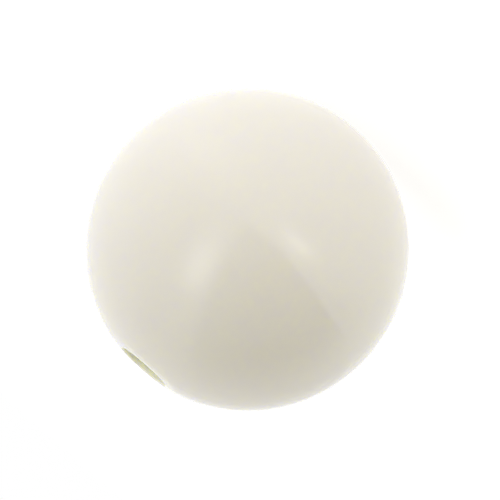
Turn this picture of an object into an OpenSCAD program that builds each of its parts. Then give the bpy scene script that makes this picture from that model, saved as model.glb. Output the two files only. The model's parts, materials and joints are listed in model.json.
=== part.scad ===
// Round resin bead, cast and turned in one piece and drilled straight through its centre.
// Each mouth of the bore is rounded over, so that a cord or an elastic thread runs over
// it without fraying. The bore stands upright on Z, the ball's centre is the origin, and
// the bead rests on the rounded rim of its lower mouth.

/* [Ball] */
// Diameter of the ball
ball_d = 16; // [8:0.5:40]

/* [Bore] */
// Diameter of the bore that the cord runs through
bore_d = 2.8; // [1:0.1:4]
// Radius of the rounding between the bore and the ball, at both mouths
lip_r = 0.1; // [0.05:0.05:0.5]

/* [Hidden] */
$fn = 128;

ball_r = ball_d / 2;
bore_r = bore_d / 2;

// The rounding's circle touches the bore from outside and the ball from inside.
lip_x = bore_r + lip_r;
lip_z = sqrt(pow(ball_r - lip_r, 2) - pow(lip_x, 2));

// The mouth's corner is cut away from the rounding's centre outwards, by this share of the
// centre's own distance from the origin, which ends past the ball's skin.
past_skin = 0.5;

// Curves that touch need exact places. A shape is put in its place in two moves, the first
// in whole steps of this size and the second over the small rest.
first_step = 0.001;

module put_at(point) {
    near = [for (along = point) first_step * floor(along / first_step)];
    translate(near)
        translate(point - near)
            children();
}

// Half of the ball's section, from the bore's wall outwards.
module drilled_section() {
    intersection() {
        circle(r = ball_r);
        put_at([bore_r, -ball_r])
            square([ball_r, ball_d]);
    }
}

// What tumbling takes off the sharp corner of the upper mouth: the wedge between the
// bore's wall and the line from the ball's centre through the rounding's centre.
module worn_corner() {
    put_at([lip_x, lip_z])
        difference() {
            polygon([
                [0, 0],
                [past_skin * lip_x, past_skin * lip_z],
                [-lip_x, past_skin * lip_z],
                [-lip_x, 0],
            ]);
            circle(r = lip_r);
        }
}

module bead() {
    color("ivory")
        rotate_extrude()
            difference() {
                drilled_section();
                worn_corner();
                mirror([0, 1])
                    worn_corner();
            }
}

bead();
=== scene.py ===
# %% [markdown]
# # A resin bead, standing on the mouth of its bore
#
# This notebook dresses one small craft part: a round ivory resin bead, 16 mm across, with a bore
# for a cord straight through its centre. The size and the place of everything come from a packed
# frame, which holds the engineering model. The looks are made here: a fine skin with the worn rims
# of the bore, two finishes of the same resin, a white light tent, and a camera that looks from just
# above the bore's mouth.

# %% Load the frame
import json
import math

import bpy
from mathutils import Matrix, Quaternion, Vector


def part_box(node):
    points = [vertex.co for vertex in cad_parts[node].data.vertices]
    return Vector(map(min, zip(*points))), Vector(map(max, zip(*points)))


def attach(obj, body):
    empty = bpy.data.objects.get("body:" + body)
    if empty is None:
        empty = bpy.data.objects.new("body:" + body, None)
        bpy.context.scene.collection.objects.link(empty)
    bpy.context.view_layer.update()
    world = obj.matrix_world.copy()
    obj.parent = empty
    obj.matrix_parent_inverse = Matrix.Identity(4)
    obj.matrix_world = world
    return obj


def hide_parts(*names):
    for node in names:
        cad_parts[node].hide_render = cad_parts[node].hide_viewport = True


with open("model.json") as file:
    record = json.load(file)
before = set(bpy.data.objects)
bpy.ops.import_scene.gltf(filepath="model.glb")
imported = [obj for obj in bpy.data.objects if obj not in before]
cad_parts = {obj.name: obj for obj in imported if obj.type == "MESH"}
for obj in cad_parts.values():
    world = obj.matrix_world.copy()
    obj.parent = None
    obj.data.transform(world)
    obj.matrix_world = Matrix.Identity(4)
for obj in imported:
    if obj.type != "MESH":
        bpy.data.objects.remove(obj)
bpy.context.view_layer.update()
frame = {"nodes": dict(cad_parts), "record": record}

MM = 0.001
print("frame loaded:", ", ".join(frame["nodes"]))

# %% [markdown]
# ## Sizes that the bead already has
#
# A visual model that is measured again by eye drifts away from the real one. Here every size is
# read from the frame instead. The box of the bead gives the ball's radius and its height, and the
# mount called *bore* gives the radius of the hole and the length of its straight wall. What is left
# over between the end of the straight wall and the top of the box is the radius of the rounded rim.

# %% Read the bead's sizes
bead_low, bead_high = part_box("bead")
bore_mount = next(mount for mount in frame["record"]["mounts"] if mount["name"] == "bore")

ball_r = (bead_high.x - bead_low.x) / 2
bore_r = bore_mount["dims"]["r_mm"] * MM
wall_z = bore_mount["dims"]["length_mm"] / 2 * MM
rim_r = bead_high.z - wall_z
rim_x = bore_r + rim_r
rim_end = math.atan2(wall_z, rim_x)

print(f"ball {ball_r / MM:.3f} mm, bore {bore_r / MM:.3f} mm, rim {rim_r / MM:.3f} mm (radii)")

# %% [markdown]
# ## The section of the bead
#
# Anything turned or drilled is round about an axis, so it is drawn as half a section and spun. The
# section here is a closed loop of four kinds of stretch: the straight wall of the bore, the rounded
# rim of the upper mouth, the long arc of the ball, and the lower rim. The rim's circle touches both
# the wall and the ball, so the skin has no crease for a reflection to break on. Each arc is a
# formula with its own number of steps, and the tight rims get the finest ones.

# %% Draw the section as points
WALL_STEPS = 48
RIM_STEPS = 16
BALL_STEPS = 128


def arc(centre, radius, start, end, steps):
    """Points (distance from the axis, height) along an arc, without its last point."""
    angles = [start + (end - start) * i / steps for i in range(steps)]
    return [(centre[0] + radius * math.cos(angle), centre[1] + radius * math.sin(angle))
            for angle in angles]


def line(start, end, steps):
    """Points along a straight stretch, without its last point."""
    shares = [i / steps for i in range(steps)]
    return [(start[0] + (end[0] - start[0]) * share, start[1] + (end[1] - start[1]) * share)
            for share in shares]


wall = line((bore_r, -wall_z), (bore_r, wall_z), WALL_STEPS)
upper_rim = arc((rim_x, wall_z), rim_r, math.pi, rim_end, RIM_STEPS)
skin = arc((0, 0), ball_r, rim_end, -rim_end, BALL_STEPS)
lower_rim = arc((rim_x, -wall_z), rim_r, -rim_end, -math.pi, RIM_STEPS)
section = wall + upper_rim + skin + lower_rim

print("section:", len(section), "points")

# %% [markdown]
# ## The worn mouths
#
# Two things happen to the mouths of a bead. The drill leaves an edge that tumbling rounds over but
# never makes perfect: it stays a little wavy, with a nick or two where the tool broke out. And on a
# string the bead rubs against its neighbours, which wears a shallow ring round each mouth. On a
# mirror-like bead these are the only places where a maker's or a wearer's hand shows, so both are
# worth modelling. The wave is a sum of sines of the angle round the bore, each nick is a small
# smooth dip, and the ring is a soft step that fades out on the ball. Nothing wears the wall inside
# the bore.

# %% Shape the worn mouths
UPPER, LOWER = 1, -1
RING_REACH, RING_DEPTH = 2.2 * MM, 0.055 * MM                   # from the axis, and along it
WAVES = [(3, 0.005, 0.4), (7, 0.004, 2.1), (13, 0.003, 5.0)]    # cycles, height in mm, phase
NICKS = {UPPER: [(-1.62, 0.09, 0.022), (0.9, 0.12, 0.018)],     # angle, width, and depth in mm
         LOWER: [(2.3, 0.10, 0.020), (-0.4, 0.08, 0.015)]}


def soft_step(share):
    """An S-shaped rise from 0 to 1, level at both ends."""
    share = min(max(share, 0), 1)
    return share * share * (3 - 2 * share)


def edge_wear(end, turn):
    """How far tumbling and nicks moved the edge at this angle round the bore, in metres."""
    wave = sum(height * math.sin(cycles * turn + phase + end) for cycles, height, phase in WAVES)
    for angle, width, depth in NICKS[end]:
        off = math.remainder(turn - angle, math.tau)            # the short way round
        wave -= depth * math.exp(-(off / width) ** 2)
    return wave * MM


def worn(point, turn):
    """A section point after wear: lowered in the ring, and moved out or in on the rounded edge."""
    x, z = point
    end = UPPER if z > 0 else LOWER
    if abs(z) < wall_z and x < rim_x:
        return x, z
    lowered = z - end * RING_DEPTH * soft_step((RING_REACH - x) / (RING_REACH - rim_x))
    out = Vector((x - rim_x, z - end * wall_z))
    share = (math.atan2(out.y * end, out.x) - rim_end) / (math.pi - rim_end)
    if not 0 < share < 1:
        return x, lowered
    moved = out.normalized() * edge_wear(end, turn) * math.sin(math.pi * share) ** 2
    return x + moved.x, lowered + moved.y


print("wear:", len(WAVES), "waves,", len(NICKS[UPPER] + NICKS[LOWER]), "nicks and 2 rings")

# %% [markdown]
# ## Spinning the section
#
# Blender has a Screw modifier and a Spin tool, but the mesh is written directly here, because the
# rims change round the turn. Ring *i* of the mesh is the section at one angle, and each face joins
# two neighbouring points of two neighbouring rings. The mesh closes on itself both ways, like a
# tyre with a very small hole, so it has no open edge and no pole where faces pinch together. Faces
# of the bore's wall get the second material slot. They are the first ones of each ring, because the
# section starts with the wall.

# %% Spin the bead
TURN_STEPS = 384
SKIN_SLOT, WALL_SLOT = 0, 1


def spin(name, points, steps):
    """A closed mesh of revolution about Z."""
    verts = []
    for i in range(steps):
        turn = 2 * math.pi * i / steps
        for point in points:
            x, z = worn(point, turn)
            verts.append((x * math.cos(turn), x * math.sin(turn), z))
    count = len(points)
    faces = []
    for i in range(steps):
        here, there = i * count, (i + 1) % steps * count
        for k in range(count):
            after = (k + 1) % count
            faces.append((here + k, here + after, there + after, there + k))
    mesh = bpy.data.meshes.new(name)
    mesh.from_pydata(verts, [], faces)
    mesh.update()
    return mesh


bead_mesh = spin("resin_bead", section, TURN_STEPS)
bead = bpy.data.objects.new("resin_bead", bead_mesh)
bpy.context.scene.collection.objects.link(bead)
bead_mesh.shade_smooth()
for face in bead_mesh.polygons:
    face.material_index = WALL_SLOT if face.index % len(section) < WALL_STEPS else SKIN_SLOT

print("bead mesh:", len(bead_mesh.polygons), "faces")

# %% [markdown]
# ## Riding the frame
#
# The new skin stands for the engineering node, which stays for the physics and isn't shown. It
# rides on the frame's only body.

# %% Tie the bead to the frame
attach(bead, "root")
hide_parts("bead")

print(bead.name, "rides on root and stands for the node bead")

# %% [markdown]
# ## Helpers for nodes
#
# Every finish here, and the light round the bead, is a small network of nodes. In Blender's editor,
# placing a node means choosing its settings, typing its numbers and drawing its wires. The first
# helper does all three in one call: an input that is given another node's output becomes a wire,
# and an input that is given a number or a colour just holds it. The others are short names for the
# nodes used most. The last one is the bell curve that lamps and pools of light are made of: the
# exponential of minus a square.

# %% Make helpers that place nodes
MIX_FIRST, MIX_SECOND, MIX_RESULT = 6, 7, 2       # the colour sockets of a Mix node
WHITE = (1, 1, 1, 1)


def place(tree, kind, sockets=None, **settings):
    """A new node, with its settings made and its inputs filled or wired."""
    node = tree.nodes.new(kind)
    for name, value in settings.items():
        setattr(node, name, value)
    for key, value in (sockets or {}).items():
        if isinstance(value, bpy.types.NodeSocket):
            tree.links.new(value, node.inputs[key])
        else:
            node.inputs[key].default_value = value
    return node


def maths(tree, operation, first, second=0.0):
    """One sum on numbers or sockets."""
    return place(tree, "ShaderNodeMath", {0: first, 1: second}, operation=operation).outputs[0]


def fade(tree, value, low, high, start, end):
    """A soft step from start, where the value is below low, to end, where it is above high."""
    sockets = {"Value": value, "From Min": low, "From Max": high, "To Min": start, "To Max": end}
    node = place(tree, "ShaderNodeMapRange", sockets, interpolation_type="SMOOTHSTEP")
    return node.outputs["Result"]


def tint(tree, share, first, second):
    """A mix of two colours."""
    sockets = {"Factor": share, MIX_FIRST: first, MIX_SECOND: second}
    return place(tree, "ShaderNodeMix", sockets, data_type="RGBA").outputs[MIX_RESULT]


def bell(tree, value, width):
    """A bell curve: 1 where the value is 0, about a third at the width, almost 0 at twice that."""
    square = maths(tree, "POWER", maths(tree, "DIVIDE", value, width), 2)
    return maths(tree, "EXPONENT", maths(tree, "MULTIPLY", square, -1))


print("node helpers: place, maths, fade, tint, bell")

# %% [markdown]
# ## A node group, and why
#
# The ball's skin and the wall of its bore are one resin with two finishes. What they share is built
# once as a node group: a network with named inputs and outputs that each material places like a
# single node and feeds with its own numbers. Only things that change over the surface come out of a
# group, such as a colour or a height. Numbers that are the same everywhere stay on the shader.

# %% Make a helper for node groups
def new_group(name, inputs, outputs):
    """An empty node group, and its two ends. Each input has a kind and a start value."""
    tree = bpy.data.node_groups.new(name, "ShaderNodeTree")
    for label, (kind, value) in inputs.items():
        socket = tree.interface.new_socket(label, in_out="INPUT", socket_type="NodeSocket" + kind)
        socket.default_value = value
    for label, kind in outputs.items():
        tree.interface.new_socket(label, in_out="OUTPUT", socket_type="NodeSocket" + kind)
    return tree, tree.nodes.new("NodeGroupInput").outputs, tree.nodes.new("NodeGroupOutput").inputs


print("group helper: new_group")

# %% [markdown]
# ## Cast resin: a colour with depth
#
# The resin is poured with a white pigment that never spreads quite evenly. Looked at closely, the
# ivory drifts between a milkier and a warmer tone, in clouds a few millimetres wide that were drawn
# out while the resin still flowed. The clouds are a noise texture whose coordinates are pulled
# about by a second, wider noise. Both read the object's own coordinates in three dimensions, so the
# wall of the bore cuts through the same clouds as the ball's skin, as it does in a real casting. A
# noise texture gives values round a half and hardly ever comes near 0 or 1, so a soft step over the
# middle of its range brings out both tones.

# %% Build the clouds of cast resin
STIR_WIDTH = 2.5                          # how wide the stirring is, in clouds
STIR_DETAIL, CLOUD_DETAIL = 1, 3
NOISE_LOW, NOISE_HIGH = 0.3, 0.7


def cast_resin_clouds():
    """Two tones of one resin, mixed in drawn-out clouds."""
    tree, given, result = new_group(
        "cast resin clouds",
        {"Milky": ("Color", WHITE), "Warm": ("Color", WHITE),
         "Clouds per metre": ("Float", 100), "Pull": ("Float", 0)},
        {"Color": "Color"})
    coords = place(tree, "ShaderNodeTexCoord").outputs["Object"]
    slow = maths(tree, "DIVIDE", given["Clouds per metre"], STIR_WIDTH)
    stir = place(tree, "ShaderNodeTexNoise", {
        "Vector": coords, "Scale": slow, "Detail": STIR_DETAIL})
    pull = place(tree, "ShaderNodeVectorMath", {0: stir.outputs["Color"], "Scale": given["Pull"]},
                 operation="SCALE")
    drawn = place(tree, "ShaderNodeVectorMath", {0: coords, 1: pull.outputs[0]}, operation="ADD")
    clouds = place(tree, "ShaderNodeTexNoise", {
        "Vector": drawn.outputs[0], "Scale": given["Clouds per metre"], "Detail": CLOUD_DETAIL})
    share = fade(tree, clouds.outputs["Fac"], NOISE_LOW, NOISE_HIGH, 0, 1)
    tree.links.new(tint(tree, share, given["Milky"], given["Warm"]), result["Color"])
    return tree


resin_clouds = cast_resin_clouds()
print("group:", resin_clouds.name)

# %% [markdown]
# ## Polish that isn't quite a mirror
#
# Beads are polished by the thousand in a barrel with wet grit and then with felt. That gives a deep
# shine with two small faults: the gloss is a little duller in some patches than in others, and the
# surface keeps a ripple far too shallow to feel, which softens the edges of what is reflected. The
# group puts out the first as a roughness and the second as a height.

# %% Build the barrel polish
POLISH_DETAIL = 2


def barrel_polish():
    """Patches of gloss and a faint ripple."""
    tree, given, result = new_group(
        "barrel polish",
        {"Gloss": ("Float", 0.1), "Haze": ("Float", 0.2), "Patches per metre": ("Float", 200),
         "Ripples per metre": ("Float", 1000)},
        {"Roughness": "Float", "Height": "Float"})
    coords = place(tree, "ShaderNodeTexCoord").outputs["Object"]
    patches = place(tree, "ShaderNodeTexNoise", {
        "Vector": coords, "Scale": given["Patches per metre"], "Detail": POLISH_DETAIL})
    dull = fade(tree, patches.outputs["Fac"], NOISE_LOW, NOISE_HIGH, given["Gloss"], given["Haze"])
    ripple = place(tree, "ShaderNodeTexNoise", {
        "Vector": coords, "Scale": given["Ripples per metre"], "Detail": POLISH_DETAIL})
    tree.links.new(dull, result["Roughness"])
    tree.links.new(ripple.outputs["Fac"], result["Height"])
    return tree


polish = barrel_polish()
print("group:", polish.name)

# %% [markdown]
# ## The polished skin
#
# Pigmented resin isn't opaque paint. Light goes in, wanders about among the pigment grains for a
# millimetre or two, and comes out somewhere else, and blue light gets lost sooner than red and
# green. That is why the bead is a clean ivory where light falls on it and a deeper, yellower ivory
# on its shaded side. Subsurface scattering does exactly this: the radius says how far each colour
# travels, and the scale turns the radius into metres. Polyester resin bends light a little more
# than glass does, so its index of refraction is 1.56.

# %% Make the polished skin
RESIN_IOR = 1.56
LIGHT_TRAVEL = (2.0, 2.0, 0.5)        # red, green and blue, in millimetres
CLOUDS_PER_METRE, CLOUD_PULL = 130, 5 * MM
RIPPLE_HEIGHT = 0.002 * MM


def new_material(name):
    """An empty material, with its tree."""
    material = bpy.data.materials.new(name)
    material.use_nodes = True
    material.node_tree.nodes.clear()
    return material, material.node_tree


def resin_shader(tree, colour, roughness, normal):
    """The shader that both finishes of the resin share, wired to the material's output."""
    shader = place(tree, "ShaderNodeBsdfPrincipled", {
        "Base Color": colour, "Roughness": roughness, "IOR": RESIN_IOR, "Normal": normal,
        "Subsurface Weight": 1.0, "Subsurface Radius": LIGHT_TRAVEL, "Subsurface Scale": MM})
    place(tree, "ShaderNodeOutputMaterial", {"Surface": shader.outputs[0]})


polished, tree = new_material("polished ivory resin")
clouds = place(tree, "ShaderNodeGroup", node_tree=resin_clouds)
clouds.inputs["Milky"].default_value = (0.721, 0.694, 0.650, 1)
clouds.inputs["Warm"].default_value = (0.715, 0.685, 0.638, 1)
clouds.inputs["Clouds per metre"].default_value = CLOUDS_PER_METRE
clouds.inputs["Pull"].default_value = CLOUD_PULL
shine = place(tree, "ShaderNodeGroup", node_tree=polish)
shine.inputs["Gloss"].default_value = 0.06
shine.inputs["Haze"].default_value = 0.10
shine.inputs["Patches per metre"].default_value = 300
shine.inputs["Ripples per metre"].default_value = 900
ripple = place(tree, "ShaderNodeBump", {
    "Height": shine.outputs["Height"], "Distance": RIPPLE_HEIGHT})
resin_shader(tree, clouds.outputs["Color"], shine.outputs["Roughness"], ripple.outputs[0])
bead_mesh.materials.append(polished)

print("material:", polished.name)

# %% [markdown]
# ## The drilled wall
#
# Felt and grit hardly reach into a bore, so its wall stays as the drill left it: dull, a little
# chalky, and ringed by fine grooves, one for each turn of the drill. A wave texture with bands
# along Z draws such rings, and a little distortion keeps them from looking like a screw thread.
# They are far too fine to model, so they only tilt the shading through a Bump node. The clouds and
# the polish are the same two groups as on the skin, fed with this finish's own numbers.

# %% Make the drilled wall
GROOVES_PER_METRE = 6000
BANDS_PER_SCALE = 20 / math.tau           # a wave texture's bands per metre at a scale of 1
GROOVE_HEIGHT = 0.008 * MM
GROOVE_WANDER, GROOVE_DETAIL = 1.5, 2

drilled, tree = new_material("drilled ivory resin")
clouds = place(tree, "ShaderNodeGroup", node_tree=resin_clouds)
clouds.inputs["Milky"].default_value = (0.695, 0.695, 0.700, 1)
clouds.inputs["Warm"].default_value = (0.682, 0.680, 0.676, 1)
clouds.inputs["Clouds per metre"].default_value = CLOUDS_PER_METRE
clouds.inputs["Pull"].default_value = CLOUD_PULL
shine = place(tree, "ShaderNodeGroup", node_tree=polish)
shine.inputs["Gloss"].default_value = 0.38
shine.inputs["Haze"].default_value = 0.52
shine.inputs["Patches per metre"].default_value = 600
shine.inputs["Ripples per metre"].default_value = 2500
coords = place(tree, "ShaderNodeTexCoord").outputs["Object"]
grooves = place(tree, "ShaderNodeTexWave", {
    "Vector": coords, "Scale": GROOVES_PER_METRE / BANDS_PER_SCALE,
    "Distortion": GROOVE_WANDER, "Detail": GROOVE_DETAIL}, bands_direction="Z")
rough = maths(tree, "ADD", grooves.outputs["Fac"], shine.outputs["Height"])
relief = place(tree, "ShaderNodeBump", {"Height": rough, "Distance": GROOVE_HEIGHT})
resin_shader(tree, clouds.outputs["Color"], shine.outputs["Roughness"], relief.outputs[0])
bead_mesh.materials.append(drilled)

print("material:", drilled.name)

# %% [markdown]
# ## The camera
#
# The camera looks at the bead from less than a hand's length away, and from just above the level of
# the upper mouth, so that the mouth shows as a thin dark lens on the outline. The picture is turned
# as well: the bore's axis points to the lower left. A camera's rotation is easiest to build in two
# steps. First it is pointed at the bead and kept upright with *to_track_quat*, and then it is
# rolled about its own line of sight. The distance follows from how much of the picture the bead
# fills, because from close by the outline is a little smaller than the ball's full circle.

# %% Set up the camera
CAMERA_LENS, SENSOR = 200, 36                 # both in millimetres
CLIP_RATIO = 100
MOUTH_TILT = math.radians(8.6)                # how far up the camera is, seen from the bead
MOUTH_DIRECTION = math.radians(228.6)         # the upper mouth's side, anticlockwise from the right
FRAME_SHARE = 0.6475                          # the bead's width, as a share of the picture's
OFF_CENTRE = (-0.0076, 0.0025)                # right and up, in widths of the ball

outline = math.atan(FRAME_SHARE * SENSOR / 2 / CAMERA_LENS)
distance = ball_r / math.sin(outline)
to_camera = Vector((0, -math.cos(MOUTH_TILT), math.sin(MOUTH_TILT)))
upright = to_camera.to_track_quat("Z", "Y")
roll = Quaternion((0, 0, 1), math.pi / 2 - MOUTH_DIRECTION)

camera_data = bpy.data.cameras.new("camera")
camera_data.lens = CAMERA_LENS
camera_data.sensor_width = SENSOR
camera_data.clip_start = distance / CLIP_RATIO
camera_data.clip_end = distance * CLIP_RATIO
camera = bpy.data.objects.new("camera", camera_data)
bpy.context.scene.collection.objects.link(camera)
bpy.context.scene.camera = camera
camera.rotation_mode = "QUATERNION"
camera.rotation_quaternion = upright @ roll
axes = camera.rotation_quaternion.to_matrix()
picture_right, picture_up = axes.col[0], axes.col[1]
bead_shift = (picture_right * OFF_CENTRE[0] + picture_up * OFF_CENTRE[1]) * 2 * ball_r
camera.location = to_camera * distance - bead_shift

print(f"camera {distance / MM:.0f} mm from the bead, {math.degrees(MOUTH_TILT):.1f} degrees up")

# %% [markdown]
# ## A light tent
#
# Glossy white things look their best inside a tent of white cloth, where there is little for them
# to reflect but white. The tent is painted on Blender's world. The *Generated* coordinate is
# the direction in which a ray leaves, so its dot product with another direction says how near the
# two are: 1 along it, 0 across it and -1 away from it. A soft step on that number makes an edge of
# the cloth, and a bell curve on two such numbers makes a lamp.

# %% Start the tent
world = bpy.data.worlds.new("light tent")
bpy.context.scene.world = world
world.use_nodes = True
tent = world.node_tree
tent.nodes.clear()
leaving = place(tent, "ShaderNodeTexCoord").outputs["Generated"]


def nearness(direction):
    """How closely a ray follows a direction."""
    sockets = {0: leaving, 1: Vector(direction).normalized()}
    return place(tent, "ShaderNodeVectorMath", sockets, operation="DOT_PRODUCT").outputs["Value"]


print("tent started")

# %% [markdown]
# ## The open corner
#
# The tent is open at one corner in front, where the camera looks in, and the dim room outside shows
# there. It is what draws the soft dark bell on the bead. One side of the opening is the hanging
# edge of a flap of cloth. A straight edge seen from the bead is a plane through the bead, so one
# dot product makes it. A second one fades the opening out towards the back of the tent. The last
# side is the front edge of the board that the bead stands on, which comes further down.

# %% Cut the opening
FLAP_NORMAL, FLAP_SOFT = (0.96, 0.215, 0.203), 0.02
FRONT_START, FRONT_FULL = -0.50, 0.30

past_flap = fade(tent, nearness(FLAP_NORMAL), -FLAP_SOFT, FLAP_SOFT, 1, 0)
in_front = fade(tent, nearness(to_camera), FRONT_START, FRONT_FULL, 0, 1)
opening = maths(tent, "MULTIPLY", past_flap, in_front)

print("opening cut")

# %% [markdown]
# ## The strip lamp
#
# A tall, narrow lamp stands behind the cloth beside the opening and lights a strip of it. The strip
# is one bell curve across it times one along it, so it has no hard edge. Its width and its height
# are sines of angles seen from the bead. Those two sines come up once more on the far side of the
# tent, so a soft step on the nearness to the lamp's middle leaves only the strip on this side.

# %% Hang the strip lamp
LAMP_AZIMUTH, LAMP_ELEVATION = 291, 38        # in degrees
LAMP_WIDTH, LAMP_HEIGHT = 0.18, 0.36
THIS_SIDE_START, THIS_SIDE_FULL = 0, 0.3


def lamp(azimuth, elevation, width, height):
    """A soft upright strip of light, 1 at its middle."""
    turn, lift = math.radians(azimuth), math.radians(elevation)
    level = math.cos(lift)
    middle = Vector((math.cos(turn) * level, math.sin(turn) * level, math.sin(lift)))
    across = Vector((-math.sin(turn), math.cos(turn), 0))
    upward = middle.cross(across)
    curve = maths(tent, "MULTIPLY", bell(tent, nearness(across), width),
                  bell(tent, nearness(upward), height))
    this_side = fade(tent, nearness(middle), THIS_SIDE_START, THIS_SIDE_FULL, 0, 1)
    return maths(tent, "MULTIPLY", curve, this_side)


strip = lamp(LAMP_AZIMUTH, LAMP_ELEVATION, LAMP_WIDTH, LAMP_HEIGHT)

print("lamp at azimuth", LAMP_AZIMUTH, "and elevation", LAMP_ELEVATION)

# %% [markdown]
# ## Cloth, lamp and dim room together
#
# Inside the opening a ray meets the room. It is lit by what light leaks past the cloth, so it is
# half bright and a little yellow beside the flap, and almost dark and brown further round.
# Everywhere else a ray meets white cloth, slightly brighter behind the bead, and the strip lamp
# behind it. Rays that come straight from the camera are sorted out first and meet a plain white of
# strength 1, which the Standard view shows as white. So the backdrop is white, and the bead gets no
# more light for it.

# %% Light the tent
CLOTH_FRONT, CLOTH_BEHIND, STRIP = 1.0, 1.15, 1.8
ROOM_FAR, ROOM_NEAR = (0.16, 0.13, 0.03, 1), (0.65, 0.66, 0.53, 1)
FLAP_SIDE = (1, 0, 0)
LEAK_START, LEAK_FULL = -1.0, 0.3

leak = fade(tent, nearness(FLAP_SIDE), LEAK_START, LEAK_FULL, 0, 1)
room = tint(tent, leak, ROOM_FAR, ROOM_NEAR)
cloth = fade(tent, nearness(to_camera), -1, 1, CLOTH_BEHIND, CLOTH_FRONT)
bright = maths(tent, "ADD", maths(tent, "MULTIPLY", strip, STRIP), cloth)
lit = place(tent, "ShaderNodeBackground", {"Color": tint(tent, opening, bright, room)})
backdrop = place(tent, "ShaderNodeBackground", {"Color": WHITE})
seen = place(tent, "ShaderNodeLightPath").outputs["Is Camera Ray"]
split = place(tent, "ShaderNodeMixShader", {0: seen, 1: lit.outputs[0], 2: backdrop.outputs[0]})
place(tent, "ShaderNodeOutputWorld", {"Surface": split.outputs[0]})

print("tent lit")

# %% [markdown]
# ## The board under the bead
#
# The bead stands on a white board that glows a little, as a light table does, so that its underside
# is nearly as bright as its top. Pools of painted light and painted shade are added to that glow:
# no lamp lights them and nothing casts them. Four painted pools of light lie on it: two in front of
# the bead, one beside it and one near the board's front edge. Two patches further out are painted
# shade.
# Each is a bell curve of the distance from its middle, and a patch of painted shade is a pool whose
# strength is below zero. The board also has a matt coat of paint, which catches the bead's shadow.
# To the camera's own rays the board glows evenly, and just enough to come out white round the bead,
# so the painted pools show only in the bead's reflections and in the light that the bead gets.

# %% Lay the board
BOARD_FRONT, BOARD_SIDE = 105 * MM, 400 * MM
floor_z = bead_low.z
corners = [(-BOARD_SIDE, -BOARD_FRONT, floor_z), (BOARD_SIDE, -BOARD_FRONT, floor_z),
           (BOARD_SIDE, BOARD_SIDE, floor_z), (-BOARD_SIDE, BOARD_SIDE, floor_z)]
board_mesh = bpy.data.meshes.new("white_board")
board_mesh.from_pydata(corners, [], [(0, 1, 2, 3)])
board = bpy.data.objects.new("white_board", board_mesh)
bpy.context.scene.collection.objects.link(board)

print("board laid at", round(floor_z / MM, 3), "mm")

# %% Light and paint the board
FLOAT_FIRST, FLOAT_SECOND = 2, 3          # the number sockets of a Mix node
PAINT = 0.5
BOARD_GLOW, BOARD_SEEN = 0.76, 0.64
# Pools of painted light in the board's glow; a strength below zero makes painted shade.
PAINTED_POOLS = [((-11.8, -29.3), 6.7, 2.1),      # place and radius in millimetres, and strength
         ((-18, -47), 9.5, 0.80),
         ((23, -11), 10, 0.42),
         ((38, -92), 18, 0.55),
         ((-35, -82), 14, -0.6),
         ((-80, -23), 28, -0.7)]

white, tree = new_material("white board")
here = place(tree, "ShaderNodeNewGeometry").outputs["Position"]


def painted_pool(place_mm, radius_mm, strength):
    """A round pool of painted light on the board; below zero it is painted shade."""
    middle = (place_mm[0] * MM, place_mm[1] * MM, floor_z)
    gap = place(tree, "ShaderNodeVectorMath", {0: here, 1: middle}, operation="DISTANCE")
    return maths(tree, "MULTIPLY", bell(tree, gap.outputs["Value"], radius_mm * MM), strength)


# The board's glow: its even level plus the painted pools of light and shade.
glow = BOARD_GLOW
for spot in PAINTED_POOLS:
    glow = maths(tree, "ADD", painted_pool(*spot), glow)
seen = place(tree, "ShaderNodeLightPath").outputs["Is Camera Ray"]
paint = place(tree, "ShaderNodeBsdfDiffuse", {"Color": (PAINT, PAINT, PAINT, 1)})
shown = place(tree, "ShaderNodeMix", {0: seen, FLOAT_FIRST: glow, FLOAT_SECOND: BOARD_SEEN},
              data_type="FLOAT").outputs[0]
light = place(tree, "ShaderNodeEmission", {"Strength": shown})
both = place(tree, "ShaderNodeAddShader", {0: paint.outputs[0], 1: light.outputs[0]})
place(tree, "ShaderNodeOutputMaterial", {"Surface": both.outputs[0]})
board_mesh.materials.append(white)

print("board lit by", len(PAINTED_POOLS), "pools of light and shade")

# %% [markdown]
# ## The view and the end
#
# The Standard view shows colours as they are written.

# %% Set the view and finish
bpy.context.scene.view_settings.view_transform = "Standard"
